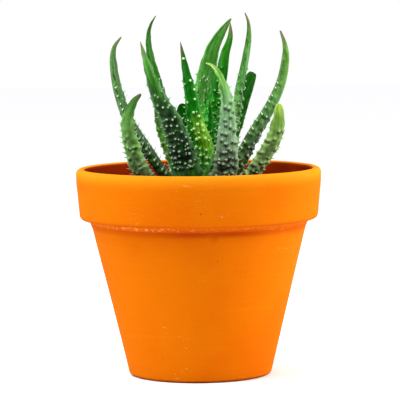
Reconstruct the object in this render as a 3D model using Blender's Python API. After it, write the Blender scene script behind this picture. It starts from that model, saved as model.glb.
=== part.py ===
# Potted aloe: a toothed, tubercled aloe rosette in a plain clay flowerpot.
# The scene is in metres with +Z up. The origin is the middle of the pot's foot, on the surface
# it stands on, and the side with -Y is the front. Every size below is in millimetres.

import math

import bmesh
import bpy
from mathutils import Vector

MM = 0.001

# The pot's driving dimensions.
RIM_DIAMETER = 110.0
POT_HEIGHT = 93.0
BAND_HEIGHT = 23.5
BAND_DRAFT = 1.4
BODY_TOP_DIAMETER = 96.2
FOOT_DIAMETER = 63.0
WALL = 4.6
FLOOR_THICKNESS = 6.0
DRAIN_DIAMETER = 12.0
SOIL_BELOW_RIM = 15.5

# The pot's smaller forms.
BAND_CORNER = 3.0
BAND_LEDGE = 5.2
COLLAR_HEIGHT = 4.0
COLLAR_PROUD = 0.5
FOOT_ROUND = 2.5
RECESS_RADIUS = 18.0
RECESS_DEPTH = 1.2
RECESS_CHAMFER = 1.2
LIP_DEPTH = 5.0
INSIDE_DRAFT = 1.2
INSIDE_CORNER = 4.0
INSIDE_SLOPE = 0.25

# The short stem that the leaves grow from: pairs of height above the foot and radius there.
STEM = ((70.0, 7.5), (76.0, 9.4), (80.0, 9.8), (84.0, 9.0), (88.0, 7.2), (91.0, 5.0), (93.0, 2.6))
STEM_TOP = 94.0
STEM_HOLE_BOTTOM = 69.5

# Clearance between pieces that touch on the real plant, and what curved seats need on top.
FIT_GAP = 0.35
SEAT_EXTRA = 0.2
POT_SIDES = 48
STEM_SIDES = 20

# The relief on the leaves. A ring is a cross-section of a leaf.
RING_STEP = 4.7
FEWEST_RINGS = 8
MARGIN_THICKNESS = 1.1
TOOTH_BASE = 1.8
TOOTH_HEIGHT = 1.8
TOOTH_LEAN = 0.5
TUBERCLE_BASE = 1.6
TUBERCLE_HEIGHT = 0.9
TUBERCLE_LEAN = 0.2
RELIEF_STARTS = 0.08
RELIEF_ENDS = 0.87
LAST_RING = 0.985
ROOT_SHARE = 0.6
ROOT_SWELLS_BY = 0.16

# The cross-section of a leaf in shares of its width and depth: across, and out of its back.
BACK_SHARES = ((-0.4, 0.3), (-0.24, 0.5), (0.0, 0.6), (0.24, 0.5), (0.4, 0.3))
FACE_SHARES = ((0.28, -0.24), (0.0, -0.16), (-0.28, -0.24))
LEFT_MARGIN = 0
RIGHT_MARGIN = len(BACK_SHARES) + 2

# Base colour and roughness of each material.
TERRACOTTA = ((0.8, 0.2, 0.02), 0.7)
POTTING_SOIL = ((0.035, 0.022, 0.014), 0.95)
STEM_GREEN = ((0.22, 0.3, 0.12), 0.6)
LEAF_TONES = {
    "leaf_green": ((0.045, 0.19, 0.035), 0.42),
    "leaf_bright": ((0.06, 0.27, 0.02), 0.4),
    "leaf_pale": ((0.13, 0.29, 0.12), 0.5),
    "leaf_dark": ((0.02, 0.1, 0.035), 0.42),
}


def leaf_spec(tone, azimuth, seat, path, width, depth, **more):
    """One leaf. azimuth is the way it leaves the stem, in degrees, with 0 to the right and -90
    to the front, and seat is how high on the stem it grows. path holds the places that its
    midline passes through after its root, the last being its tip. faces is the way its back
    looks, and twist how far that turns by the tip. A small taper makes a blunt leaf. rough is
    how far up its back is tubercled, as a share of its length; one back quad in every rows
    carries a tubercle, and one margin quad in every teeth a tooth."""
    spec = dict(
        tone=tone, azimuth=azimuth, seat=seat, path=path, width=width, depth=depth,
        faces=azimuth, twist=0.0, taper=0.8, rough=0.55, rows=3, teeth=2,
    )
    spec.update(more)
    return spec


LEAVES = {
    "leaf_far_left": leaf_spec(
        "leaf_green", 182, 85.5,
        ((-15, 0, 93), (-22, -1, 103), (-29.5, -2, 114), (-35, -3, 127.5), (-37, -3, 140.5),
         (-36.5, -3, 147), (-33.5, -2, 152)),
        11, 6.6, faces=182, twist=-30, taper=0.62, teeth=1),
    "leaf_front_left_short": leaf_spec(
        "leaf_pale", -150, 80,
        ((-23.5, -12, 91), (-29, -15, 104), (-31, -17, 114.5), (-28.5, -16, 123), (-25, -15, 127)),
        8, 5.2, faces=-110, taper=0.45, rough=0.75),
    "leaf_back_left_thin": leaf_spec(
        "leaf_green", 148, 88,
        ((-11, 8.5, 102), (-18, 13, 130.5), (-21, 15, 143.5), (-21.5, 16, 151),
         (-20.5, 16, 156.5), (-18.5, 16, 161)),
        7, 4, faces=140),
    "leaf_front_left_big": leaf_spec(
        "leaf_dark", -115, 80.6,
        ((-5, -19, 91.5), (-8, -23, 104.5), (-11.5, -26, 116), (-16, -27, 124.5),
         (-20.5, -26, 136), (-25, -23, 150.5)),
        13.2, 6.2, faces=-100, rough=0.68, rows=2, teeth=1),
    "leaf_inner_left": leaf_spec(
        "leaf_green", -148, 88,
        ((-13.5, -6, 101.5), (-17.5, -9, 114), (-19, -10, 125)),
        8, 4, faces=-150, teeth=1),
    "leaf_centre_upright": leaf_spec(
        "leaf_bright", -95, 89,
        ((2, -8, 101.5), (-1, -10, 112.5), (-3, -12, 126), (-5, -13, 136), (-7.5, -12, 150)),
        8.8, 4.2, faces=-95, rough=0.85, rows=2, teeth=1),
    "leaf_back_broad": leaf_spec(
        "leaf_dark", 95, 87.5,
        ((2.5, 10, 117.5), (4, 12, 133), (7, 13, 145.5), (11, 13, 153), (15.5, 12, 159.5)),
        12, 4.6, faces=95, teeth=1),
    "leaf_back_bright": leaf_spec(
        "leaf_bright", 78, 90,
        ((6, 5, 114), (11, 6, 133), (13, 7, 143.5), (15, 8, 151), (15, 8, 157.5)),
        7.8, 3.8, faces=-80),
    "leaf_front_right_pale": leaf_spec(
        "leaf_pale", -65, 80.6,
        ((11.5, -17, 92), (12.5, -22, 105), (13, -25, 116.5), (12.5, -26, 125), (10, -25, 134.5),
         (7, -23, 139), (3.5, -21, 140.5)),
        12.2, 6, faces=-80, rough=0.72, rows=2, teeth=1),
    "leaf_right_tall": leaf_spec(
        "leaf_green", 14, 87.5,
        ((16.5, 6, 116), (18.5, 8, 128.5), (21, 10, 140), (23, 11, 151.5), (23, 11, 157.5),
         (21.5, 11, 162)),
        9, 4.6, faces=-15, teeth=1),
    "leaf_back_right_blunt": leaf_spec(
        "leaf_dark", 44, 85,
        ((19, 16, 112), (22, 19, 121.5), (24.5, 21, 130), (26.5, 21, 135)),
        6.5, 4.2, faces=60, taper=0.35),
    "leaf_far_right": leaf_spec(
        "leaf_green", -4, 84,
        ((17.5, 0, 96.5), (24, 0, 108), (31.5, 1, 120), (36.5, 2, 131), (39.5, 2, 143),
         (39, 2, 148.5), (37, 2, 154)),
        11, 7, faces=-10, taper=0.7, teeth=1),
    "leaf_right_low": leaf_spec(
        "leaf_pale", -26, 80,
        ((23, -9, 90.5), (28.5, -12, 98), (33, -14, 105.5), (35.5, -15, 114), (36, -14, 122)),
        8.4, 5, faces=-60, taper=0.4, rough=0.7),
    "leaf_behind_short": leaf_spec(
        "leaf_dark", 127, 83.2,
        ((-4.8, 15.5, 104.5), (-6.2, 17.5, 114.5), (-6.8, 17.5, 121)),
        5.8, 3.6, faces=110),
    "leaf_young_front": leaf_spec(
        "leaf_green", -48, 91.5,
        ((4.5, -4.6, 101), (5.5, -5.6, 112.5), (5.2, -6, 124.5)),
        5, 2.8, faces=-80),
    "leaf_young_left": leaf_spec(
        "leaf_dark", 165, 91.5,
        ((-1, 0, 103), (-1, 1.5, 116.5), (0.5, 2, 129)),
        5, 2.8, faces=150),
    "leaf_young_right": leaf_spec(
        "leaf_green", 6, 91.5,
        ((6.4, -0.2, 101), (8, -0.2, 111), (9, -0.8, 120)),
        4.4, 2.6, faces=10),
    "leaf_back_middle": leaf_spec(
        "leaf_green", 90, 80.4,
        ((1.5, 20, 97), (2.5, 28, 111), (4, 30, 123)),
        10, 5.4, rough=0.7),
    "leaf_back_left_low": leaf_spec(
        "leaf_pale", 134, 80.4,
        ((-10.5, 17, 92), (-14, 25, 102), (-15, 29, 110)),
        9, 5, rough=0.7),
    "leaf_back_right_low": leaf_spec(
        "leaf_green", 47, 80.4,
        ((13.5, 17, 93), (17, 26, 104), (19, 29, 114)),
        9, 5, rough=0.7),
}

# Sizes worked out from the driving ones.
RIM_RADIUS = RIM_DIAMETER / 2
FOOT_RADIUS = FOOT_DIAMETER / 2
BODY_TOP_RADIUS = BODY_TOP_DIAMETER / 2
DRAIN_RADIUS = DRAIN_DIAMETER / 2
BAND_LOW = POT_HEIGHT - BAND_HEIGHT
BAND_LOW_RADIUS = RIM_RADIUS - BAND_DRAFT
BAND_INSIDE_TOP = RIM_RADIUS - BAND_LEDGE
BAND_INSIDE_LOW = BAND_INSIDE_TOP - INSIDE_DRAFT
STEP_TOP = BAND_LOW + 4.0
STEP_LOW = BAND_LOW - 2.0
SOIL_TOP = POT_HEIGHT - SOIL_BELOW_RIM


def make_material(name, finish):
    """A Principled material of one colour and roughness, not metallic."""
    colour, roughness = finish
    made = bpy.data.materials.new(name)
    made.use_nodes = True
    shader = made.node_tree.nodes["Principled BSDF"]
    shader.inputs["Base Color"].default_value = (*colour, 1.0)
    shader.inputs["Roughness"].default_value = roughness
    shader.inputs["Metallic"].default_value = 0.0
    return made


def add_object(name, shape, finish, smooth_angle):
    """Puts a finished shape in the scene as one sub-part, smooth up to an angle in degrees."""
    mesh = bpy.data.meshes.new(name)
    shape.to_mesh(mesh)
    shape.free()
    mesh.materials.append(finish)
    mesh.shade_smooth()
    mesh.set_sharp_from_angle(angle=math.radians(smooth_angle))
    made = bpy.data.objects.new(name, mesh)
    bpy.context.scene.collection.objects.link(made)
    return made


def turned_ring(shape, radius, height, sides):
    """The vertices of one ring about the Z axis, or one vertex where the radius is nothing."""
    if radius == 0.0:
        return [shape.verts.new((0.0, 0.0, height * MM))]
    ring = []
    for step in range(sides):
        turn = 2.0 * math.pi * step / sides
        place = Vector((radius * math.cos(turn), radius * math.sin(turn), height))
        ring.append(shape.verts.new(place * MM))
    return ring


def turned_shape(outline, sides):
    """Turns a closed outline of (radius, height) points about the Z axis. The outline runs
    anticlockwise, seen with the radius to the right and the height up."""
    shape = bmesh.new()
    rings = [turned_ring(shape, radius, height, sides) for radius, height in outline]
    for low, high in zip(rings, rings[1:] + rings[:1]):
        if len(low) == 1 and len(high) == 1:
            continue
        for step in range(sides):
            after = (step + 1) % sides
            if len(low) == 1:
                shape.faces.new((low[0], high[after], high[step]))
            elif len(high) == 1:
                shape.faces.new((low[step], low[after], high[0]))
            else:
                shape.faces.new((low[step], low[after], high[after], high[step]))
    return shape


def arc(centre, radius, start, end, steps):
    """Points on an arc in the plane of radius and height, between two angles in degrees."""
    points = []
    for step in range(steps + 1):
        turn = math.radians(start + (end - start) * step / steps)
        points.append((centre[0] + radius * math.cos(turn), centre[1] + radius * math.sin(turn)))
    return points


def inside_radius(height):
    """The radius of the pot's inside at a height, below the step under its rim band."""
    return BODY_TOP_RADIUS - WALL - (BAND_LOW - height) * INSIDE_SLOPE


def pot_outline():
    """The pot's cross-section: up the outside from the foot, over the lip and down the inside."""
    lip = WALL / 2
    collar_low = BAND_LOW - COLLAR_HEIGHT
    collar_radius = BODY_TOP_RADIUS + COLLAR_PROUD
    points = [(DRAIN_RADIUS, RECESS_DEPTH), (RECESS_RADIUS, RECESS_DEPTH)]
    points.append((RECESS_RADIUS + RECESS_CHAMFER, 0.0))
    points += arc((FOOT_RADIUS - FOOT_ROUND, FOOT_ROUND), FOOT_ROUND, -90, -14, 3)
    points.append((BODY_TOP_RADIUS, collar_low))
    points.append((collar_radius, collar_low + COLLAR_PROUD))
    points.append((collar_radius + COLLAR_PROUD, BAND_LOW - COLLAR_PROUD))
    band_corner = (BAND_LOW_RADIUS - BAND_CORNER, BAND_LOW + BAND_CORNER)
    points += arc(band_corner, BAND_CORNER, -80, 0, 3)
    points.append((RIM_RADIUS, POT_HEIGHT - 1.5 * lip))
    points += arc((RIM_RADIUS - lip, POT_HEIGHT - lip), lip, 15, 165, 6)
    points.append((BAND_INSIDE_TOP, POT_HEIGHT - LIP_DEPTH))
    points.append((BAND_INSIDE_LOW, STEP_TOP))
    points.append((inside_radius(STEP_LOW), STEP_LOW))
    corner_top = FLOOR_THICKNESS + INSIDE_CORNER
    points.append((inside_radius(corner_top), corner_top))
    points.append((inside_radius(FLOOR_THICKNESS) - INSIDE_CORNER, FLOOR_THICKNESS))
    points.append((DRAIN_RADIUS, FLOOR_THICKNESS))
    return points


def stem_radius(height):
    """The radius of the stem at a height, from the pairs in STEM."""
    if height <= STEM[0][0]:
        return STEM[0][1]
    for (low, low_radius), (high, high_radius) in zip(STEM, STEM[1:]):
        if height <= high:
            share = (height - low) / (high - low)
            return low_radius + (high_radius - low_radius) * share
    return 0.0


def soil_outline():
    """The soil's cross-section: it fills the pot, with a plain hole that the stem stands in."""
    rise = (SOIL_TOP - STEP_TOP) / (POT_HEIGHT - LIP_DEPTH - STEP_TOP)
    edge = BAND_INSIDE_LOW + INSIDE_DRAFT * rise - FIT_GAP
    floor = FLOOR_THICKNESS + FIT_GAP
    corner_top = floor + INSIDE_CORNER
    hole_gap = FIT_GAP + SEAT_EXTRA
    bevel = 0.7
    points = [(0.0, floor), (inside_radius(floor) - INSIDE_CORNER - FIT_GAP, floor)]
    points.append((inside_radius(corner_top) - hole_gap, corner_top))
    points.append((inside_radius(STEP_LOW) - hole_gap, STEP_LOW))
    points.append((BAND_INSIDE_LOW - hole_gap, STEP_TOP))
    points.append((edge, SOIL_TOP - bevel))
    for share in (0.86, 0.68, 0.5, 0.34):
        points.append((edge * share, SOIL_TOP))
    points.append((stem_radius(SOIL_TOP) + hole_gap + bevel, SOIL_TOP))
    points.append((stem_radius(SOIL_TOP) + hole_gap, SOIL_TOP - bevel))
    points.append((stem_radius(STEM_HOLE_BOTTOM) + hole_gap, STEM_HOLE_BOTTOM))
    points.append((0.0, STEM_HOLE_BOTTOM))
    return points


def soil_unevenness(x, y):
    """How far the soil's surface stands above or below level at a place."""
    broad = 0.5 * math.sin(0.21 * x + 1.0) * math.cos(0.17 * y)
    fine = 0.35 * math.sin(0.43 * y + 0.1 * x)
    return broad + fine


def make_pot():
    shape = turned_shape(pot_outline(), POT_SIDES)
    return add_object("pot", shape, make_material("terracotta", TERRACOTTA), 30)


def make_soil():
    shape = turned_shape(soil_outline(), POT_SIDES)
    for vert in shape.verts:
        x, y, z = vert.co / MM
        if abs(z - SOIL_TOP) < FIT_GAP:
            vert.co.z += soil_unevenness(x, y) * MM
    return add_object("soil", shape, make_material("potting_soil", POTTING_SOIL), 40)


def make_stem():
    outline = [(0.0, STEM[0][0])]
    outline += [(radius, height) for height, radius in STEM]
    outline.append((0.0, STEM_TOP))
    shape = turned_shape(outline, STEM_SIDES)
    return add_object("stem", shape, make_material("stem_green", STEM_GREEN), 40)


def leaf_knots(spec):
    """The root of a leaf, just off the stem, and the places that its midline passes through."""
    turn = math.radians(spec["azimuth"])
    reach = stem_radius(spec["seat"]) + FIT_GAP
    root = Vector((reach * math.cos(turn), reach * math.sin(turn), spec["seat"]))
    return [root] + [Vector(place) for place in spec["path"]]


def midline(spec, share):
    """The place on a leaf's midline at a share of its length, on a smooth curve through its
    knots: one cubic for each stretch, whose slopes follow the knots on both sides."""
    knots = leaf_knots(spec)
    marks = [0.0]
    for before, after in zip(knots, knots[1:]):
        marks.append(marks[-1] + (after - before).length)
    along = share * marks[-1]
    index = 0
    while index < len(knots) - 2 and along > marks[index + 1]:
        index += 1
    slopes = []
    for end in (index, index + 1):
        first = max(end - 1, 0)
        last = min(end + 1, len(knots) - 1)
        slopes.append((knots[last] - knots[first]) / (marks[last] - marks[first]))
    span = marks[index + 1] - marks[index]
    t = (along - marks[index]) / span
    start = knots[index] * (2 * t ** 3 - 3 * t ** 2 + 1) + slopes[0] * (span * t * (1 - t) ** 2)
    stop = knots[index + 1] * (3 * t ** 2 - 2 * t ** 3) - slopes[1] * (span * t * t * (1 - t))
    return start + stop


def leaf_length(spec):
    """The length of a leaf's midline, measured in short steps."""
    steps = 20
    places = [midline(spec, step / steps) for step in range(steps + 1)]
    return sum((after - before).length for before, after in zip(places, places[1:]))


def leaf_axes(spec, share):
    """The unit vectors across a leaf and out of its back at a share of its length."""
    reach = 0.004
    along = midline(spec, min(share + reach, 1.0)) - midline(spec, max(share - reach, 0.0))
    along.normalize()
    turn = math.radians(spec["faces"] + spec["twist"] * share)
    across = Vector((-math.sin(turn), math.cos(turn), 0.0))
    across = (across - along * across.dot(along)).normalized()
    return across, across.cross(along).normalized()


def leaf_fullness(spec, share):
    """The width of a leaf at a share of its length, as a part of its widest."""
    taper = spec["taper"]
    narrowing = min(1.0, (1.0 + 0.12 / taper) * (1.0 - share) ** taper)
    swell = min(1.0, share / ROOT_SWELLS_BY)
    swell = swell * swell * (3.0 - 2.0 * swell)
    return narrowing * (ROOT_SHARE + (1.0 - ROOT_SHARE) * swell)


def leaf_section(spec, share):
    """The points of one ring: the left margin, over the back to the right margin, and across the
    flatter upper face."""
    place = midline(spec, share)
    across, out = leaf_axes(spec, share)
    fullness = leaf_fullness(spec, share)
    width = spec["width"] * fullness
    point_thins = min(1.0, 0.35 + 4.0 * (1.0 - share))
    depth = spec["depth"] * (0.3 + 0.7 * fullness) * point_thins
    edge = min(MARGIN_THICKNESS, 0.34 * depth) / 2
    spots = [(-width / 2, -edge), (-width / 2, edge)]
    spots += [(width * wide, max(edge, depth * deep)) for wide, deep in BACK_SHARES]
    spots += [(width / 2, edge), (width / 2, -edge)]
    spots += [(width * wide, min(-edge, depth * deep)) for wide, deep in FACE_SHARES]
    return [place + across * sideways + out * outward for sideways, outward in spots]


def clear_of_stem(point, extra):
    """Moves a point away from the Z axis, where it has to, until it is clear of the stem."""
    reach = math.hypot(point.x, point.y)
    needed = stem_radius(point.z) + FIT_GAP + extra
    if reach >= needed or point.z > STEM_TOP:
        return point
    return Vector((point.x * needed / reach, point.y * needed / reach, point.z))


def raise_point(shape, corners, base, height, lean):
    """Fills the quad between four corners, with a pyramid on a small square base raised from
    its middle. lean moves the pyramid's point towards the leaf's tip."""
    middle = sum((corner.co for corner in corners), Vector()) / 4
    along = (corners[2].co + corners[3].co - corners[0].co - corners[1].co) / 2
    sideways = (corners[1].co + corners[2].co - corners[0].co - corners[3].co) / 2
    up = sideways.cross(along).normalized()
    long_half = min(0.7, base * MM / along.length) / 2
    side_half = min(0.74, base * MM / sideways.length) / 2
    foot = []
    for back, left in ((-1, -1), (-1, 1), (1, 1), (1, -1)):
        spot = middle + along * (back * long_half) + sideways * (left * side_half)
        foot.append(shape.verts.new(spot))
    point = shape.verts.new(middle + up * (height * MM) + along.normalized() * (lean * MM))
    for index in range(4):
        after = (index + 1) % 4
        shape.faces.new((corners[index], corners[after], foot[after], foot[index]))
        shape.faces.new((foot[index], foot[after], point))


def is_tooth(spec, ring, column):
    """Teeth stand on both margins. Where they are sparse they alternate from side to side."""
    if column == LEFT_MARGIN:
        return ring % spec["teeth"] == 0
    return column == RIGHT_MARGIN and (ring + 1) % spec["teeth"] == 0


def is_tubercle(spec, ring, column):
    """Tubercles stand on the back in staggered rows."""
    return LEFT_MARGIN < column < RIGHT_MARGIN and (column + ring) % spec["rows"] == 0


def skin_stretch(shape, spec, ring, rings):
    """The faces between one ring of a leaf and the next, with their teeth and tubercles."""
    share = ring / (len(rings) - 1)
    has_relief = RELIEF_STARTS < share < RELIEF_ENDS
    sides = len(rings[0])
    for column in range(sides):
        after = (column + 1) % sides
        corners = (rings[ring][column], rings[ring][after],
                   rings[ring + 1][after], rings[ring + 1][column])
        if has_relief and is_tooth(spec, ring, column):
            height = TOOTH_HEIGHT * (0.5 + 0.5 * leaf_fullness(spec, share))
            raise_point(shape, corners, TOOTH_BASE, height, TOOTH_LEAN)
        elif has_relief and share < spec["rough"] and is_tubercle(spec, ring, column):
            raise_point(shape, corners, TUBERCLE_BASE, TUBERCLE_HEIGHT, TUBERCLE_LEAN)
        else:
            shape.faces.new(corners)


def close_end(shape, ring, place, faces_up):
    """Closes a leaf's first or last ring with a fan to one vertex."""
    middle = shape.verts.new(place * MM)
    for before, after in zip(ring, ring[1:] + ring[:1]):
        corners = (before, after, middle) if faces_up else (after, before, middle)
        shape.faces.new(corners)


def make_leaf(name, spec, finish):
    """A leaf in one piece: rings along its midline, skinned, and closed at root and tip."""
    ring_count = max(FEWEST_RINGS, round(leaf_length(spec) / RING_STEP))
    shape = bmesh.new()
    rings = []
    for index in range(ring_count):
        section = leaf_section(spec, LAST_RING * index / (ring_count - 1))
        section = [clear_of_stem(point, SEAT_EXTRA) for point in section]
        rings.append([shape.verts.new(point * MM) for point in section])
    for ring in range(ring_count - 1):
        skin_stretch(shape, spec, ring, rings)
    root = sum((vert.co for vert in rings[0]), Vector()) / (len(rings[0]) * MM)
    close_end(shape, rings[0], clear_of_stem(root, 0.0), False)
    close_end(shape, rings[-1], midline(spec, 1.0), True)
    return add_object(name, shape, finish, 40)


def main():
    for old in list(bpy.data.objects):
        bpy.data.objects.remove(old)
    make_pot()
    make_soil()
    make_stem()
    tones = {name: make_material(name, finish) for name, finish in LEAF_TONES.items()}
    for name, spec in LEAVES.items():
        make_leaf(name, spec, tones[spec["tone"]])


main()
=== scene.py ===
# Potted aloe: the fine surfaces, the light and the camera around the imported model.
# Sizes and places are in millimetres, angles in degrees, and colours are sRGB hex values.

import math
import random

import bpy
import numpy as np
from mathutils import Matrix, Vector, noise


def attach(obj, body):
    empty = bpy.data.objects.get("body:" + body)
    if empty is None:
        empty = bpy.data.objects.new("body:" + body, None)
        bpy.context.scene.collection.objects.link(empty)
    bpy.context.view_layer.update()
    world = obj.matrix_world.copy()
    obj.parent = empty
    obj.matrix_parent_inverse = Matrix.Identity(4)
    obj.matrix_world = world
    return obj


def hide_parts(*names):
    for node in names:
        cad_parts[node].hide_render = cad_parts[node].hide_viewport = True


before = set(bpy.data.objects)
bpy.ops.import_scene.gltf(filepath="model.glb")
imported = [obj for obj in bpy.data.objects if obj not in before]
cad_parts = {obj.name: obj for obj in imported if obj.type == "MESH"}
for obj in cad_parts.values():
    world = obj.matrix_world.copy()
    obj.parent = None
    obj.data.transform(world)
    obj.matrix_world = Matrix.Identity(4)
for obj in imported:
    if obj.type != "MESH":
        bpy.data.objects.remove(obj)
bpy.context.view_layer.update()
mm = 0.001
perMetre = 1000.0    # perMetre / size is the scale of a pattern of that size


# Small helpers

def linearColour(hexCode):
    # sRGB hex to the linear colour that Blender's sockets take
    parts = [int(hexCode[i:i + 2], 16) / 255 for i in (1, 3, 5)]
    parts = [p / 12.92 if p <= 0.04045 else ((p + 0.055) / 1.055) ** 2.4 for p in parts]
    return (*parts, 1.0)


def addNode(tree, kind, inputs=None, **settings):
    # an input takes another node's output, a hex colour or a plain value
    node = tree.nodes.new(kind)
    for name, value in settings.items():
        setattr(node, name, value)
    for name, value in (inputs or {}).items():
        if isinstance(value, bpy.types.NodeSocket):
            tree.links.new(value, node.inputs[name])
        elif isinstance(value, str):
            node.inputs[name].default_value = linearColour(value)
        else:
            node.inputs[name].default_value = value
    return node


def smoothStep(low, high, value):
    t = min(1.0, max(0.0, (value - low) / (high - low)))
    return t * t * (3 - 2 * t)


def startShape(*markNames):
    return {"points": [], "faces": [], "marks": {name: [] for name in markNames}}


def addPoint(shape, point, marks=None):
    shape["points"].append(Vector(point) * mm)
    for name, values in shape["marks"].items():
        values.append((marks or {}).get(name, (0.0, 0.0, 0.0)))
    return len(shape["points"]) - 1


def joinRings(shape, low, high):
    # quads between two closed rings of point numbers, or a fan where one is a single point
    sides = max(len(low), len(high))
    for i in range(sides):
        j = (i + 1) % sides
        if len(low) == 1:
            shape["faces"].append((low[0], high[j], high[i]))
        elif len(high) == 1:
            shape["faces"].append((low[i], low[j], high[0]))
        else:
            shape["faces"].append((low[i], low[j], high[j], high[i]))


def finishPiece(name, shape, material, cadNode, sharpAngle=60):
    # the mesh, its attributes and its place in the frame
    mesh = bpy.data.meshes.new(name)
    mesh.from_pydata(shape["points"], [], shape["faces"])
    for key, values in shape["marks"].items():
        layer = mesh.attributes.new(key, "FLOAT_VECTOR", "POINT")
        layer.data.foreach_set("vector", np.array(values, np.float32).ravel())
    mesh.materials.append(material)
    mesh.shade_smooth()
    mesh.set_sharp_from_angle(angle=math.radians(sharpAngle))
    piece = bpy.data.objects.new(name, mesh)
    bpy.context.scene.collection.objects.link(piece)
    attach(piece, "root")
    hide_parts(cadNode)


def newMaterial(name, settings):
    material = bpy.data.materials.new(name)
    material.use_nodes = True
    tree = material.node_tree
    shader = tree.nodes["Principled BSDF"]
    for socket, value in settings.items():
        shader.inputs[socket].default_value = value
    return material, tree, shader


def finishMaterial(tree, shader, colour, height, strength, depth):
    # the shader's colour, and a fine relief that adds to the one in the mesh
    tree.links.new(colour, shader.inputs["Base Color"])
    bump = addNode(tree, "ShaderNodeBump",
                   {"Height": height, "Strength": strength, "Distance": depth * mm})
    tree.links.new(bump.outputs[0], shader.inputs["Normal"])


# The pot: pressed and turned terracotta

pot = {
    "rimRadius": 55.0, "height": 93.0, "wall": 4.6, "floor": 6.0,
    "bandHeight": 22.8, "bandDraft": 1.4, "bandCorner": 2.2,
    "bandLedge": 5.2,         # from the rim in to the step inside the band
    "collarHeight": 3.2, "collarProud": 0.7,
    "bodyTopRadius": 48.1, "footRadius": 32.2, "footRound": 2.0,
    "insideSlope": 0.25,      # how much the inside narrows for each millimetre down
    "drainRadius": 6.0, "drainEdge": 0.6, "recessRadius": 18.0, "recessDepth": 1.2,
    "sides": 240,
    "outlineStep": 1.8,       # longest face up or across the wall
    "wobble": 0.12,           # how far the turned wall strays from true
    "clay": "#C46202", "paleClay": "#D47A04", "redClay": "#B84200",
    "wornLipAndHighlight": "#D67E10", "dampStainAndShade": "#9A3402", "footContactShade": "#6A2C06",
    "dampInsideAndShade": "#741001", "lime": "#F0A860", "ironSpeck": "#6A2404",
    "cloudSize": 38.0,        # patches fired a little redder
    "turningLines": (45.0, 45.0, 1.3),    # one line left by the turning tool, x, y and z
    "gritSize": 0.5,          # grains of the fired surface
    "limeSize": 1.6,          # flecks in the corner under the band
    "scuffSize": (3.0, 3.0, 0.7),         # one pale scuff, x, y and z
    "scuffSpacing": 26.0,     # between the patches of scuffs
    "scuffShift": (52.1, -12.1, 35.4),    # brings such a patch low on the left front
    "speckSpacing": 14.0,     # between iron specks
    "speckShift": (94.5, -19.0, -50.0),   # keeps the low front free of them
    "stainAndShadeAzimuth": 8.0,      # of the damp stain and the painted shade under the band, to the right of the front
    # widths in degrees of the stain with its painted shade, and of the darkest smudge of shade in
    # it
    "stainAndShadeWidth": 38.0, "smudgeAndShadeWidth": 3.2,
    "crustAzimuth": -38.0, "crustWidth": 24.0,    # of the lime, from the middle of the stain and painted shade
}


def arcPoints(centre, radius, start, end, steps):
    points = []
    for step in range(steps + 1):
        turn = math.radians(start + (end - start) * step / steps)
        points.append((centre[0] + radius * math.cos(turn), centre[1] + radius * math.sin(turn)))
    return points


def potInside(height):
    # radius of the inside wall below the step under the band
    bandLow = pot["height"] - pot["bandHeight"]
    return pot["bodyTopRadius"] - pot["wall"] - (bandLow - height) * pot["insideSlope"]


def potOutline():
    # points of the cross-section, each with whether it is on the inside, which is coloured as damp
    # clay with painted shade
    lip = pot["wall"] / 2
    lipCentre = (pot["rimRadius"] - lip, pot["height"] - lip)
    bandLow = pot["height"] - pot["bandHeight"]
    bandLowRadius = pot["rimRadius"] - pot["bandDraft"]
    collarLow = bandLow - pot["collarHeight"]
    collarRadius = pot["bodyTopRadius"] + pot["collarProud"]
    insideTop = pot["rimRadius"] - pot["bandLedge"]
    foot, corner, recess = pot["footRound"], pot["bandCorner"], pot["recessRadius"]
    drain, edge, hollow = pot["drainRadius"], pot["drainEdge"], pot["recessDepth"]
    outside = [(drain, pot["floor"] - edge), (drain, hollow + edge), (drain + edge, hollow),
               (recess, hollow), (recess + 0.5, 1.0), (recess + 1.2, 0.15), (recess + 1.6, 0.0)]
    outside += arcPoints((pot["footRadius"] - foot, foot), foot, -90, -14, 9)
    outside += [(pot["bodyTopRadius"] - 0.5, collarLow - 1.9), (pot["bodyTopRadius"], collarLow)]
    outside += arcPoints((collarRadius + 0.25, collarLow + 0.9), 0.55, 200, 120, 3)
    outside += [(collarRadius + 0.3, collarLow + 2.2), (collarRadius + 0.5, bandLow - 0.7)]
    outside += arcPoints((collarRadius + 1.4, bandLow - 0.8), 0.8, 170, 100, 3)
    outside += arcPoints((bandLowRadius - corner, bandLow + corner), corner, -88, 0, 12)
    outside += [(pot["rimRadius"] - 0.1, pot["height"] - 2.6 * lip)]
    outside += arcPoints(lipCentre, lip, 0, 120, 14)
    inside = arcPoints(lipCentre, lip, 140, 180, 4)
    inside += [(insideTop + 0.25, pot["height"] - 3.4), (insideTop, pot["height"] - 5.0),
               (insideTop - 0.3, pot["height"] - 9.0), (insideTop - 1.2, bandLow + 4.0),
               (potInside(bandLow - 2.0), bandLow - 2.0),
               (potInside(pot["floor"] + 4), pot["floor"] + 4),
               (potInside(pot["floor"]) - 4, pot["floor"]),
               (drain + edge, pot["floor"])]
    points = [(place, 0.0) for place in outside] + [(place, 1.0) for place in inside]
    fine = []
    for (start, startInside), (end, endInside) in zip(points, points[1:] + points[:1]):
        steps = max(1, round(math.dist(start, end) / pot["outlineStep"]))
        for step in range(steps):
            t = step / steps
            place = tuple(a + (b - a) * t for a, b in zip(start, end))
            fine.append((place, startInside + (endInside - startInside) * t))
    return fine


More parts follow.
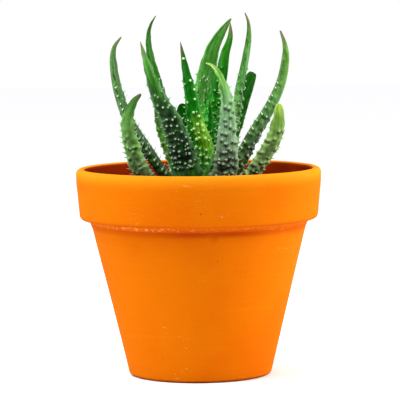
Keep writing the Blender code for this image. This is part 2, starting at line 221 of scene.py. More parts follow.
def clayMarks(height, inside, turn):
    # the front of the pot is at -90 degrees, and the marks show on the outside only
    outside = 1.0 - inside
    bandLow = pot["height"] - pot["bandHeight"]
    above = height - (bandLow - pot["collarHeight"])
    fromStainAndShade = (math.degrees(turn) + 90 - pot["stainAndShadeAzimuth"] + 180) % 360 - 180
    # the top of the outside is paler from wear and takes a painted highlight up to the lip
    lip = smoothStep(pot["height"] - 6.5, pot["height"] - 0.8, height)
    collar = smoothStep(-1.5, 0.5, above) * (1 - smoothStep(3.6, 4.2, above))
    # painted shade, with some damp stain in it, gathers in the corner under the collar and runs a
    # little way down from it
    stainAndShade = math.exp(-((above / 2.2) ** 2))
    if above < 0:
        stainAndShade = 0.7 * math.exp(-((above / 1.3) ** 2)) + 0.3 * math.exp(above / 6)
    wander = noise.noise(Vector((math.cos(turn) * 4, math.sin(turn) * 4, height * 0.12)))
    stainAndShade *= 0.35 + 0.65 * math.exp(-((fromStainAndShade / pot["stainAndShadeWidth"]) ** 2)) + 0.2 * wander
    smudgeAndShade = math.exp(-((fromStainAndShade / pot["smudgeAndShadeWidth"]) ** 2) - ((above + 1.6) / 1.9) ** 2)
    stainAndShade = max(stainAndShade, 0.6 * smudgeAndShade)
    # a thin dark line of painted shade follows the band's lower corner all the way round
    stainAndShade = max(stainAndShade, 0.42 * math.exp(-(((height - (bandLow + 0.5)) / 0.7) ** 2)))
    crust = math.exp(-(((above - 2.4) / 0.8) ** 2))
    crustSpread = (fromStainAndShade - pot["crustAzimuth"]) / pot["crustWidth"]
    crust *= 0.2 + 0.8 * math.exp(-(crustSpread ** 2))
    # painted contact shade darkens the outside where it meets the floor
    foot = 1 - smoothStep(0.2, 1.5, height)
    return {"clay": (inside, lip * outside, collar * outside),
            "weatherAndShade": (max(0.0, stainAndShade) * outside, crust * outside, foot * outside)}


def makePotShape():
    shape = startShape("clay", "weatherAndShade")
    rings = []
    for (radius, height), inside in potOutline():
        ring = []
        for i in range(pot["sides"]):
            turn = 2 * math.pi * i / pot["sides"]
            spot = Vector((math.cos(turn) * 1.3, math.sin(turn) * 1.3, height * 0.035 + 3.7))
            stray = noise.noise(spot) + 0.3 * noise.noise(Vector((spot.x, spot.y, height * 0.5)))
            reach = radius + (pot["wobble"] * stray if radius > 12 else 0.0)
            ring.append(addPoint(shape, (reach * math.cos(turn), reach * math.sin(turn), height),
                                 clayMarks(height, inside, turn)))
        rings.append(ring)
    for low, high in zip(rings, rings[1:] + rings[:1]):
        joinRings(shape, low, high)
    return shape


def terracotta():
    # Terracotta, pressed in a mould and turned: a dry, matt, warm orange body with fine grit,
    # faint level lines from the tool, a few iron specks, a worn pale lip with a painted highlight,
    # a damp stain with painted shade and crusts of lime in the corner under the band, painted
    # contact shade at the foot, and a dark damp inside that is partly painted shade.
    material, tree, shader = newMaterial("terracotta", {
        "Roughness": 0.9, "IOR": 1.5, "Specular IOR Level": 0.02, "Metallic": 0.0})
    place = addNode(tree, "ShaderNodeTexCoord").outputs["Object"]
    marks = [addNode(tree, "ShaderNodeAttribute", attribute_name=name).outputs["Vector"]
             for name in ("clay", "weatherAndShade")]
    # the first of these is painted shade under the band with some damp stain in it, and the third
    # painted contact shade at the foot
    (inside, lip, collar), (stainAndShade, crust, foot) = [
        addNode(tree, "ShaderNodeSeparateXYZ", {0: mark}).outputs for mark in marks]
    toScuffs, toSpecks = [
        addNode(tree, "ShaderNodeVectorMath", {0: place, 1: [part * mm for part in shift]},
                operation="ADD").outputs[0] for shift in (pot["scuffShift"], pot["speckShift"])]
    toLines, toScuff = [
        addNode(tree, "ShaderNodeVectorMath", {0: start, 1: [perMetre / part for part in size]},
                operation="MULTIPLY").outputs[0]
        for start, size in ((place, pot["turningLines"]), (toScuffs, pot["scuffSize"]))]
    # toLines and toScuff are stretched to scale already, so those two patterns have a scale of 1
    cloud, lines, grit, lime, scuff, patch = [
        addNode(tree, "ShaderNodeTexNoise", {
            0: start, "Scale": perMetre / size, "Detail": detail, "Roughness": rough,
            "Distortion": bend}).outputs[0]
        for start, size, detail, rough, bend in (
            (place, pot["cloudSize"], 3.0, 0.5, 0.0), (toLines, perMetre, 2.0, 0.5, 0.0),
            (place, pot["gritSize"], 2.0, 0.5, 0.0), (place, pot["limeSize"], 4.0, 0.7, 0.0),
            (toScuff, perMetre, 3.0, 0.5, 0.6), (toScuffs, pot["scuffSpacing"], 1.0, 0.5, 0.0))]
    speck = addNode(tree, "ShaderNodeTexVoronoi", {
        0: toSpecks, "Scale": perMetre / pot["speckSpacing"], "Randomness": 1.0})
    # where each pattern starts to show, where it shows in full, and how much that is
    cloud, shownLines, shownGrit, lime, scuff, patch = [
        addNode(tree, "ShaderNodeMapRange", {0: source, 1: low, 2: high, 4: full},
                interpolation_type="SMOOTHSTEP").outputs[0]
        for source, low, high, full in (
            (cloud, 0.45, 0.8, 0.4), (lines, 0.5, 0.85, 0.17), (grit, 0.5, 0.8, 0.3),
            (lime, 0.5, 0.64, 0.7), (scuff, 0.635, 0.73, 0.36), (patch, 0.54, 0.66, 1.0))]
    specks = addNode(tree, "ShaderNodeMapRange", {
        0: speck.outputs["Distance"], 1: 0.025, 2: 0.04, 3: 0.6, 4: 0.0})
    # lime and scuffs are broken by their patterns, and the rest of these only made weaker
    collar, flecks, scuffs, foot, inside, grain = [
        addNode(tree, "ShaderNodeMath", {0: first, 1: second}, operation="MULTIPLY").outputs[0]
        for first, second in ((collar, 0.25), (lime, crust), (scuff, patch), (foot, 0.85),
                              (inside, 0.92), (grit, 0.35))]
    body = pot["clay"]
    # over the clay, the mark under the band and the foot's mark lay painted shade, the inside a
    # dark damp colour with painted shade, and the lip a painted highlight over wear
    for amount, layer in (
            (cloud, "redClay"), (shownLines, "paleClay"), (shownGrit, "paleClay"),
            (collar, "redClay"), (stainAndShade, "dampStainAndShade"), (lip, "wornLipAndHighlight"), (flecks, "lime"),
            (scuffs, "lime"), (specks.outputs[0], "ironSpeck"), (foot, "footContactShade"),
            (inside, "dampInsideAndShade")):
        body = addNode(tree, "ShaderNodeMix", {0: amount, 6: body, 7: pot[layer]},
                       data_type="RGBA").outputs[2]
    rough = addNode(tree, "ShaderNodeMapRange", {0: grit, 3: 0.85, 4: 0.98})
    tree.links.new(rough.outputs[0], shader.inputs["Roughness"])
    height = addNode(tree, "ShaderNodeMath", {0: grain, 1: lines}, operation="ADD")
    finishMaterial(tree, shader, body, height.outputs[0], strength=0.3, depth=0.3)
    return material


def makePot():
    finishPiece("firedPot", makePotShape(), terracotta(), "pot", sharpAngle=75)


makePot()
print("pot made")


# The soil: peat and bark crumbs with a little grit

soil = {
    "top": 77.5, "edgeRadius": 48.6, "holeRadius": 10.4, "holeBottom": 69.6,
    "underside": ((0.0, 6.4), (28.0, 6.4), (33.5, 10.5)),    # radius and height
    "ledgeHeight": 67.5,      # where the pot's inside widens
    "rings": 44, "sides": 132,
    "crumbs": 1500, "crumbSize": (0.5, 1.9), "barkChips": 110, "gritGrains": 90,
    "peat": "#2B1D13", "dryPeat": "#5A4130", "bark": "#6B4A30", "grit": "#B9AB98",
    "fibreSize": 0.7,
}


def soilHeight(x, y):
    slow = 0.5 * math.sin(0.21 * x + 1.0) * math.cos(0.17 * y) + 0.35 * math.sin(0.43 * y + 0.1 * x)
    lumps = 0.55 * noise.noise(Vector((x * 0.45, y * 0.45, 1.0)))
    return soil["top"] + slow + lumps + 0.3 * noise.noise(Vector((x * 1.4, y * 1.4, 5.0)))


def addLump(shape, centre, size, stretch, seed, mark):
    # an angular crumb: three rings and two ends of a squashed ball, each corner pushed about
    chance = random.Random(seed)
    turn = Matrix.Rotation(chance.uniform(0, 6.28), 3, "Z")
    turn = turn @ Matrix.Rotation(chance.uniform(-0.5, 0.5), 3, "X")
    rings = []
    for level, width in ((-1.0, 0.0), (-0.55, 0.8), (0.15, 1.0), (0.7, 0.65), (1.0, 0.0)):
        ring = []
        for i in range(6 if width else 1):
            angle = math.pi * i / 3 + level
            push = size * chance.uniform(0.75, 1.15)
            spot = Vector((math.cos(angle) * width * stretch, math.sin(angle) * width,
                           level * (0.75 if stretch < 1.5 else 0.4))) * push
            ring.append(addPoint(shape, centre + turn @ spot, {"crumb": mark}))
        rings.append(ring)
    for low, high in zip(rings, rings[1:]):
        joinRings(shape, low, high)


def pottingSoil():
    # Peat with bark: matt, nearly black where it is damp, browner and dusty on the crumbs.
    material, tree, shader = newMaterial("peatAndBark", {
        "Roughness": 0.95, "IOR": 1.45, "Specular IOR Level": 0.2, "Metallic": 0.0})
    place = addNode(tree, "ShaderNodeTexCoord").outputs["Object"]
    marks = addNode(tree, "ShaderNodeAttribute", attribute_name="crumb").outputs["Vector"]
    dry, barkShare, gritShare = addNode(tree, "ShaderNodeSeparateXYZ", {0: marks}).outputs
    fibre = addNode(tree, "ShaderNodeTexNoise", {
        0: place, "Scale": perMetre / soil["fibreSize"], "Detail": 4.0}).outputs[0]
    dust = addNode(tree, "ShaderNodeMix", {0: fibre, 6: soil["peat"], 7: soil["dryPeat"]},
                   data_type="RGBA").outputs[2]
    colour = soil["peat"]
    for amount, layer in ((dry, dust), (barkShare, soil["bark"]), (gritShare, soil["grit"])):
        colour = addNode(tree, "ShaderNodeMix", {0: amount, 6: colour, 7: layer},
                         data_type="RGBA").outputs[2]
    finishMaterial(tree, shader, colour, fibre, strength=0.6, depth=0.4)
    return material


def makeSoil():
    chance = random.Random(11)
    shape = startShape("crumb")
    edge, ledge = soil["edgeRadius"], soil["ledgeHeight"]
    outline = [*soil["underside"], (potInside(ledge) - 0.5, ledge),
               (edge - 0.7, ledge + 6.0), (edge - 0.1, ledge + 9.1)]
    rings = []
    for radius, height in outline:
        sides = 1 if radius == 0 else soil["sides"]
        rings.append([addPoint(shape, (radius * math.cos(2 * math.pi * i / sides),
                                       radius * math.sin(2 * math.pi * i / sides), height))
                      for i in range(sides)])
    for step in range(soil["rings"] + 1):
        radius = edge - 0.1
        radius += (soil["holeRadius"] - radius) * step / soil["rings"]
        ring = []
        for i in range(soil["sides"]):
            x = radius * math.cos(2 * math.pi * i / soil["sides"])
            y = radius * math.sin(2 * math.pi * i / soil["sides"])
            damp = 0.35 + 0.4 * noise.noise(Vector((x * 0.2, y * 0.2, 8.0)))
            ring.append(addPoint(shape, (x, y, soilHeight(x, y)), {"crumb": (damp, 0.0, 0.0)}))
        rings.append(ring)
    rings.append([addPoint(shape, (0.0, 0.0, soil["holeBottom"]))])
    for low, high in zip(rings, rings[1:]):
        joinRings(shape, low, high)
    kinds = [("crumb", soil["crumbs"]), ("bark", soil["barkChips"]), ("grit", soil["gritGrains"])]
    for kind, count in kinds:
        for i in range(count):
            reach = math.sqrt(chance.uniform(0.055, 0.93)) * edge
            turn = chance.uniform(0, 2 * math.pi)
            x, y = reach * math.cos(turn), reach * math.sin(turn)
            size = chance.uniform(*soil["crumbSize"]) * chance.uniform(0.4, 1.0)
            mark = (chance.uniform(0.2, 1.0), 0.0, 0.0)
            stretch = 1.0
            if kind == "bark":
                size, stretch = chance.uniform(0.7, 1.3), chance.uniform(1.8, 2.6)
                mark = (0.8, chance.uniform(0.4, 1.0), 0.0)
            elif kind == "grit":
                size = chance.uniform(0.35, 0.8)
                mark = (0.8, 0.0, chance.uniform(0.5, 1.0))
            spot = Vector((x, y, soilHeight(x, y) + 0.2 * size))
            addLump(shape, spot, size, stretch, chance.random(), mark)
    finishPiece("pottingMix", shape, pottingSoil(), "soil", sharpAngle=35)


makeSoil()
print("soil made")


# The stem that the leaves clasp

stem = {
    "outline": ((70.0, 7.5), (76.0, 9.4), (80.0, 9.8), (84.0, 9.0), (88.0, 7.2), (91.0, 5.0),
                (93.0, 2.6)),    # height and radius
    "top": 94.0, "rings": 72, "sides": 64,
    "scarGap": 2.6, "scarDepth": 0.28, "scarWaver": 0.8,
    "flesh": "#7F9A52", "scar": "#8C7650", "dry": "#6A5030",
    "fibreSize": 1.1,
}


def stemRadius(height):
    outline = stem["outline"]
    if height <= outline[0][0]:
        return outline[0][1]
    for (low, lowRadius), (high, highRadius) in zip(outline, outline[1:]):
        if height <= high:
            return lowRadius + (highRadius - lowRadius) * (height - low) / (high - low)
    return 0.0


def stemSkin():
    # Living stem: dull green flesh crossed by papery brown scars where old leaves sat.
    material, tree, shader = newMaterial("aloeStem", {
        "Roughness": 0.6, "IOR": 1.42, "Specular IOR Level": 0.35, "Metallic": 0.0})
    place = addNode(tree, "ShaderNodeTexCoord").outputs["Object"]
    marks = addNode(tree, "ShaderNodeAttribute", attribute_name="scar").outputs["Vector"]
    scar = addNode(tree, "ShaderNodeSeparateXYZ", {0: marks}).outputs[0]
    fibre = addNode(tree, "ShaderNodeTexNoise", {
        0: place, "Scale": perMetre / stem["fibreSize"], "Detail": 3.0}).outputs[0]
    corky = addNode(tree, "ShaderNodeMapRange", {0: fibre, 1: 0.4, 2: 0.8, 4: 0.5},
                    interpolation_type="SMOOTHSTEP").outputs[0]
    colour = stem["flesh"]
    for amount, layer in ((corky, stem["scar"]), (scar, stem["dry"])):
        colour = addNode(tree, "ShaderNodeMix", {0: amount, 6: colour, 7: layer},
                         data_type="RGBA").outputs[2]
    finishMaterial(tree, shader, colour, fibre, strength=0.4, depth=0.3)
    return material


def makeStem():
    shape = startShape("scar")
    foot, sides = stem["outline"][0][0], stem["sides"]
    rings = [[addPoint(shape, (0.0, 0.0, foot))]]
    for step in range(stem["rings"]):
        height = foot + (stem["top"] - 0.25 - foot) * step / (stem["rings"] - 1)
        ring = []
        for i in range(sides):
            turn = 2 * math.pi * i / sides
            # each scar is a shallow groove round the stem that wavers up and down
            waver = stem["scarWaver"] * math.sin(turn * 3)
            scar = smoothStep(0.55, 1.0, math.cos(2 * math.pi * (height + waver) / stem["scarGap"]))
            radius = max(0.35, stemRadius(height)) - stem["scarDepth"] * scar
            ring.append(addPoint(shape, (radius * math.cos(turn), radius * math.sin(turn), height),
                                 {"scar": (scar, 0.0, 0.0)}))
        rings.append(ring)
    rings.append([addPoint(shape, (0.0, 0.0, stem["top"]))])
    for low, high in zip(rings, rings[1:]):
        joinRings(shape, low, high)
    finishPiece("leafScarredStem", shape, stemSkin(), "stem")


makeStem()
print("stem made")


# The leaves: each one body with its teeth and tubercles

leafForm = {
    "ringStep": 0.45, "lastRing": 0.994,    # of the length
    "backColumns": 38, "faceColumns": 16,
    "marginHalf": 0.42,       # half the thickness of a leaf's margin
    "rootWidth": 0.92,        # of the widest, where the leaf clasps the stem
    "claspEnds": 0.17,        # share of the length that still curves round the stem
    "stemGap": 0.35,          # from the stem to a leaf's root
    "leastGap": 0.2,          # from the stem to any point of a leaf
    "toothSides": 8, "bumpSides": 9, "bumpProud": 0.18,
    "veinSize": (1.1, 16.0),  # width and length of the fine lengthwise veins
    "dappleSize": (0.9, 2.25),    # patches of rubbed wax
    "mottleSize": 5.0,        # patches of waxy bloom
    "poreSize": 0.35,         # real pores are finer; this is as fine as shows
    "waxBloom": "#5F7D68",
}

leafDefaults = {"twist": 0, "tilt": 0.12, "taper": 0.8, "slot": "leaf_green"}
bareSkin = {"bloom": 0.0, "shine": 0.04}        # leaves without a waxy haze
youngSkin = {**bareSkin, "mark": "#A4D088"}


def leafLooks(root, low, body, tip, face, **more):
    # colours up the back from the root, the colour of the face, and what the skin is like
    return {
        "root": root, "low": low, "body": body, "tip": tip, "face": face,
        "point": "#5A5030",   # the very tip
        "hollow": "#0A1808",  # painted shade between tubercles and rows
        "mark": "#A0BC92",    # teeth and tubercles
        "margin": None,       # colour of the pale margin with its painted glow; else the leaf's own colour, lighter
        "glow": None,         # light that comes through the leaf low down
        # rim is how much pale margin the leaf has, partly a painted glow of light through its thin
        # edge
        "rim": 0.35, "bloom": 0.2, "shine": 0.14, "streaks": 1.0,
        "band": 0.0,          # the dark band of painted shade up the back, and the share of the leaf where it ends
        "bandEnds": 2.0,
        # ledge lays a painted highlight on the rows of tubercles, and pits painted shade just below
        # each tubercle
        "ledge": 0.0, "pits": 0.5, "lumps": 1.0,
        "faceTeeth": 0,       # how many stand on the face
        **more}


# seat is the azimuth and height where a leaf leaves the stem, and path its midline to the tip.
# faces is the azimuth of the back, and twist how far that turns up to the tip.
# taper is small for a blunt tip. tilt leans the margin's teeth towards the back, or the face
# below 0. teeth holds their gap, length, and the shares of the leaf where they start and end.
# bumps holds the gap of the rows, the gap in a row, their size, and where they start and end.
leaves = {
    "leaf_far_left": {
        "seat": (182, 85.5), "width": 11, "depth": 5.8, "faces": 178, "twist": -26,
        "taper": 0.62, "tilt": -1.0,
        "path": ((-15.6, 0, 92.2), (-22.8, -1, 102.6), (-30, -2, 114), (-35, -3, 127.5),
                 (-37.2, -3, 140.5), (-36.9, -3, 147), (-33.7, -2, 152)),
        "teeth": (3.0, 2.9, 0.1, 0.7), "bumps": (3.6, 2.6, 1.05, 0.18, 0.52),
        # its root and low colours are near black: painted shade of its underside
        "looks": leafLooks("#141804", "#123A06", "#39682A", "#3D6324", "#3A6A2C",
                           mark="#C4D8B8", margin="#4E7E40", hollow="#081006", faceTeeth=12,
                           pits=1.1, ledge=0.5, band=0.4, lumps=1.4, streaks=0.8)},
    "leaf_front_left_short": {
        "seat": (-150, 80), "width": 8.4, "depth": 5.2, "faces": -110, "taper": 0.45,
        "path": ((-24.2, -12, 91), (-29.4, -15, 104), (-31.1, -17, 114.5), (-28.5, -16, 123),
                 (-25, -15, 127)),
        "teeth": (2.8, 2.1, 0.12, 0.78), "bumps": (3.0, 2.3, 1.25, 0.1, 0.76),
        "slot": "leaf_pale",
        "looks": leafLooks("#5C7058", "#748C60", "#68A246", "#285A06", "#4E8038",
                           mark="#A4B898", point="#34480C", hollow="#16220F", pits=1.4,
                           ledge=0.8, band=0.5, lumps=1.3, streaks=0.6)},
    "leaf_back_left_thin": {
        "seat": (148, 88), "width": 8.8, "depth": 4, "faces": 140, "taper": 0.68,
        "path": ((-11, 8.5, 102), (-18, 13, 130.5), (-21.3, 15, 143.5), (-22, 16, 151),
                 (-21, 16, 156.5), (-18.5, 16, 161)),
        "teeth": (4.6, 1.5, 0.1, 0.75), "bumps": (4.0, 2.6, 0.9, 0.12, 0.5),
        "looks": leafLooks("#1E4A14", "#2A661C", "#206E04", "#305D10", "#155704",
                           faceTeeth=7, **bareSkin)},
    "leaf_front_left_big": {
        "seat": (-115, 80.6), "width": 14, "depth": 6.2, "faces": -100,
        "path": ((-5, -19, 91.5), (-8.2, -23, 104.5), (-12, -26, 116), (-16.5, -27, 124.5),
                 (-20.8, -26, 136), (-25, -23, 150.5)),
        "teeth": (4.4, 1.8, 0.16, 0.78), "bumps": (2.65, 1.5, 1.3, 0.24, 0.7),
        "slot": "leaf_dark",
        "looks": leafLooks("#50B730", "#073304", "#104604", "#30710D", "#417A34",
                           mark="#9DB497", margin="#4C7A4A", hollow="#030A04", rim=0.9,
                           pits=0.6, ledge=1.0, band=1.0, bloom=0.3)},
    "leaf_inner_left": {
        "seat": (-148, 88), "width": 8, "depth": 4, "faces": -150,
        "path": ((-13.5, -6, 101.5), (-17.5, -9, 114), (-19, -10, 125)),
        "teeth": (2.2, 1.56, 0.12, 0.9), "bumps": (2.8, 1.9, 1.05, 0.12, 0.8),
        "looks": leafLooks("#2E5224", "#80C23D", "#52931C", "#2D4D1C", "#3E6A24",
                           hollow="#14260E", faceTeeth=4, pits=0.8, ledge=0.6, band=0.5,
                           lumps=0.4)},
    "leaf_centre_upright": {
        "seat": (-95, 89), "width": 10.4, "depth": 4.2, "faces": -95,
        "path": ((2, -8, 101.5), (-1, -10, 112.5), (-3, -12, 126), (-5, -13, 136),
                 (-7.5, -12, 150)),
        "teeth": (4.0, 1.3, 0.12, 0.72), "bumps": (3.2, 2.2, 1.6, 0.1, 0.86),
        "slot": "leaf_bright",
        "looks": leafLooks("#519D37", "#0D6C04", "#067004", "#0A4C04", "#207A0C",
                           mark="#C4E4A4", glow="#74B40A", hollow="#0A3A04", pits=0.15,
                           ledge=0.3, lumps=0.3, **bareSkin)},
    "leaf_back_broad": {
        "seat": (95, 87.5), "width": 13, "depth": 4.6, "faces": 95, "taper": 0.62,
        "path": ((2.5, 10, 117.5), (4, 12, 133), (7, 13, 145.5), (11, 13, 153),
                 (15.5, 12, 159.5)),
        "teeth": (3.6, 2.0, 0.15, 0.62), "bumps": (3.6, 2.6, 1.0, 0.12, 0.55),
        "slot": "leaf_dark",
        "looks": leafLooks("#1C4E1C", "#68BE30", "#3F8932", "#265F07", "#428B23",
                           mark="#D0E4C4", faceTeeth=30, lumps=0.35)},
    "leaf_back_bright": {
        "seat": (78, 90), "width": 9.2, "depth": 3.8, "faces": -80, "taper": 0.62,
        "path": ((5.6, 5, 114), (10.4, 6, 133), (12.5, 7, 143.5), (14.8, 8, 151), (15, 8, 157.5)),
        "teeth": (4.2, 1.4, 0.12, 0.5), "bumps": (3.8, 2.4, 1.1, 0.1, 0.72),
        "slot": "leaf_bright",
        "looks": leafLooks("#164A0A", "#28AD04", "#0C6204", "#1E6904", "#2C7A10",
                           mark="#90C878", lumps=0.25, **bareSkin)},
    "leaf_front_right_pale": {
        "seat": (-65, 80.6), "width": 12.2, "depth": 6, "faces": -80,
        "path": ((11.5, -17, 92), (12.5, -22, 105), (13, -25, 116.5), (12.5, -26, 125),
                 (10, -25, 134.5), (7, -23, 139), (3.5, -21, 140.5)),
        "teeth": (3.4, 1.9, 0.12, 0.8), "bumps": (2.9, 1.8, 1.5, 0.12, 0.72),
        "slot": "leaf_pale",
        "looks": leafLooks("#49501F", "#74906C", "#648C64", "#508A20", "#7CB05A",
                           mark="#9AB68E", point="#A4BE60", hollow="#081209", rim=0.3,
                           pits=1.4, ledge=1.0, band=0.95, bandEnds=0.42, bloom=0.75)},
    "leaf_right_tall": {
        "seat": (14, 87.5), "width": 10.4, "depth": 4.6, "faces": -15, "taper": 0.55,
        "tilt": -0.9,
        "path": ((16.5, 6, 116), (18.5, 8, 128.5), (21, 10, 140), (23, 11, 151.5),
                 (23, 11, 157.5), (21.5, 11, 162)),
        "teeth": (3.2, 2.1, 0.1, 0.62), "bumps": (2.9, 2.0, 1.4, 0.1, 0.66),
        "looks": leafLooks("#2A5224", "#66B038", "#2C7A18", "#336917", "#041004",
                           hollow="#122810", faceTeeth=8, pits=1.4, ledge=0.8, band=0.8)},
    "leaf_back_right_blunt": {
        "seat": (44, 85), "width": 7, "depth": 4.2, "faces": 60, "taper": 0.22,
        "path": ((17.4, 16, 112), (20.2, 19, 121.5), (23.2, 21, 130), (25.4, 21, 134.7)),
        "teeth": (6.0, 1.0, 0.15, 0.7), "bumps": (5.0, 3.0, 0.9, 0.15, 0.8),
        "slot": "leaf_dark",
        "looks": leafLooks("#1A4612", "#1E5010", "#1F5A09", "#0C4A04", "#125304",
                           point="#1E4A10", faceTeeth=3, streaks=0.5, **bareSkin)},
    "leaf_far_right": {
        "seat": (-4, 84), "width": 13, "depth": 8.4, "faces": -5, "taper": 0.7, "tilt": -1.0,
        "path": ((17, 0, 96.5), (23.4, 0, 108), (31, 1, 120), (36.3, 2, 131), (38.8, 2, 143),
                 (38.6, 2, 148.5), (37, 2, 154)),
        "teeth": (3.2, 2.8, 0.12, 0.72), "bumps": (3.2, 2.2, 1.3, 0.1, 0.56),
        "looks": leafLooks("#3C4A1C", "#1A3C0C", "#35701E", "#4E8222", "#46683A",
                           mark="#BCD4B0", margin="#5E8A4C", hollow="#0C1A08", faceTeeth=10,
                           pits=1.3, ledge=0.5, band=0.4, lumps=1.5, streaks=0.7)},
    "leaf_right_low": {
        "seat": (-26, 80), "width": 8.2, "depth": 5, "faces": -60, "taper": 0.3,
        "path": ((23, -9, 90.5), (28.5, -12, 98), (33, -14, 105.5), (35.5, -15, 114),
                 (36, -14, 122)),
        "teeth": (3.0, 2.0, 0.12, 0.8), "bumps": (2.8, 2.1, 1.4, 0.1, 0.8),
        "slot": "leaf_pale",
        "looks": leafLooks("#6A7A50", "#7C9C60", "#84AE5C", "#50761A", "#6C9A3C",
                           mark="#A8C094", point="#7A9A28", hollow="#141E0C", pits=1.35,
                           ledge=1.0, band=0.5, bloom=0.3, lumps=1.1, streaks=0.45)},
    "leaf_behind_short": {
        "seat": (127, 83.2), "width": 10, "depth": 3.6, "faces": 110, "taper": 0.35,
        "path": ((-5.2, 15.5, 104.5), (-6.9, 17.5, 114.5), (-7.1, 17.5, 121)),
        "teeth": (3.6, 1.1, 0.12, 0.8), "bumps": (4.0, 2.4, 0.9, 0.12, 0.6),
        "slot": "leaf_dark",
        "looks": leafLooks("#0E2E06", "#103406", "#143C08", "#055304", "#055304",
                           point="#143C08", streaks=0.5, **bareSkin)},
    "leaf_young_front": {
        "seat": (-48, 91.5), "width": 5, "depth": 2.8, "faces": -80,
        "path": ((4.5, -4.6, 101), (5.5, -5.6, 112.5), (5.2, -6, 124.5)),
        "teeth": (2.6, 1.68, 0.1, 0.88), "bumps": (3.4, 2.0, 1.15, 0.1, 0.8),
        "looks": leafLooks("#1E6E10", "#1C640C", "#046804", "#045904", "#165C0A", **youngSkin)},
    "leaf_young_left": {
        "seat": (165, 91.5), "width": 5, "depth": 2.8, "faces": 150,
        "path": ((-1, 0, 103), (-1, 1.5, 116.5), (0.5, 2, 129)),
        "teeth": (2.8, 1.68, 0.1, 0.88), "bumps": (3.6, 2.2, 1.15, 0.1, 0.8),
        "slot": "leaf_dark",
        "looks": leafLooks("#14500C", "#104806", "#0E4A06", "#16580E", "#0E4A06", **youngSkin)},
    "leaf_young_right": {
        "seat": (6, 91.5), "width": 4.4, "depth": 2.6, "faces": 10,
        "path": ((6.4, -0.2, 101), (8, -0.2, 111), (9, -0.8, 120)),
        "teeth": (2.6, 1.68, 0.1, 0.88), "bumps": (3.4, 2.0, 1.1, 0.1, 0.8),
        "looks": leafLooks("#50A551", "#0A4B04", "#1C7C07", "#085504", "#067504", **youngSkin)},
    "leaf_back_middle": {
        "seat": (90, 80.4), "width": 10, "depth": 5.4, "faces": 90,
        "path": ((1.5, 20, 97), (2.5, 28, 111), (4, 30, 123)),
        "teeth": (3.2, 1.8, 0.12, 0.82), "bumps": (3.2, 2.1, 1.4, 0.14, 0.72),
        "looks": leafLooks("#3E6E52", "#346034", "#427A32", "#52903A", "#4C843C",
                           hollow="#0C1C0A", pits=0.8, ledge=0.6, band=0.7)},
    "leaf_back_left_low": {
        "seat": (134, 80.4), "width": 9, "depth": 5, "faces": 134,
        "path": ((-10.5, 17, 92), (-14, 25, 102), (-15, 29, 110)),
        "teeth": (3.1, 1.8, 0.12, 0.82), "bumps": (3.2, 2.1, 1.4, 0.14, 0.72),
        "slot": "leaf_pale",
        "looks": leafLooks("#566C50", "#62825A", "#72985E", "#7CA64A", "#70A056",
                           hollow="#182816", pits=0.9, ledge=0.6, band=0.5, bloom=0.3)},
    "leaf_back_right_low": {
        "seat": (47, 80.4), "width": 9, "depth": 5, "faces": 47,
        "path": ((13.5, 17, 93), (17, 26, 104), (19, 29, 114)),
        "teeth": (3.1, 1.8, 0.12, 0.82), "bumps": (3.2, 2.1, 1.4, 0.14, 0.72),
        "looks": leafLooks("#3E6E52", "#346034", "#4A8034", "#56923C", "#528C40",
                           hollow="#0E1E0C", pits=0.8, ledge=0.6, band=0.6)},
}


def leafKnots(leaf):
    azimuth, height = leaf["seat"]
    turn = math.radians(azimuth)
    reach = stemRadius(height) + leafForm["stemGap"]
    root = Vector((reach * math.cos(turn), reach * math.sin(turn), height))
    return [root] + [Vector(place) for place in leaf["path"]]


def midline(knots, marks, share):
    # one cubic for each stretch between knots, with slopes that follow the knots on both sides
    along = share * marks[-1]
    index = 0
    while index < len(knots) - 2 and along > marks[index + 1]:
        index += 1
    slopes = []
    for end in (index, index + 1):
        first, last = max(end - 1, 0), min(end + 1, len(knots) - 1)
        slopes.append((knots[last] - knots[first]) / (marks[last] - marks[first]))
    span = marks[index + 1] - marks[index]
    t = (along - marks[index]) / span
    start = knots[index] * (2 * t ** 3 - 3 * t ** 2 + 1) + slopes[0] * (span * t * (1 - t) ** 2)
    stop = knots[index + 1] * (3 * t ** 2 - 2 * t ** 3) - slopes[1] * (span * t * t * (1 - t))
    return start + stop


def leafPlane(leaf, line, share):
    # where the midline is, and the directions across the leaf and out of its back
    reach = 0.004
    along = (line(min(share + reach, 1.0)) - line(max(share - reach, 0.0))).normalized()
    turn = math.radians(leaf["faces"] + leaf["twist"] * share)
    across = Vector((-math.sin(turn), math.cos(turn), 0.0))
    across = (across - along * across.dot(along)).normalized()
    return line(share), across, across.cross(along).normalized()


def leafFullness(leaf, share):
    # how wide the leaf is there, in shares of its widest
    taper = leaf["taper"]
    narrowing = min(1.0, (1.0 + 0.12 / taper) * max(0.0, 1.0 - share) ** taper)
    swell = smoothStep(0.0, 0.16, share)
    return narrowing * (leafForm["rootWidth"] + (1.0 - leafForm["rootWidth"]) * swell)


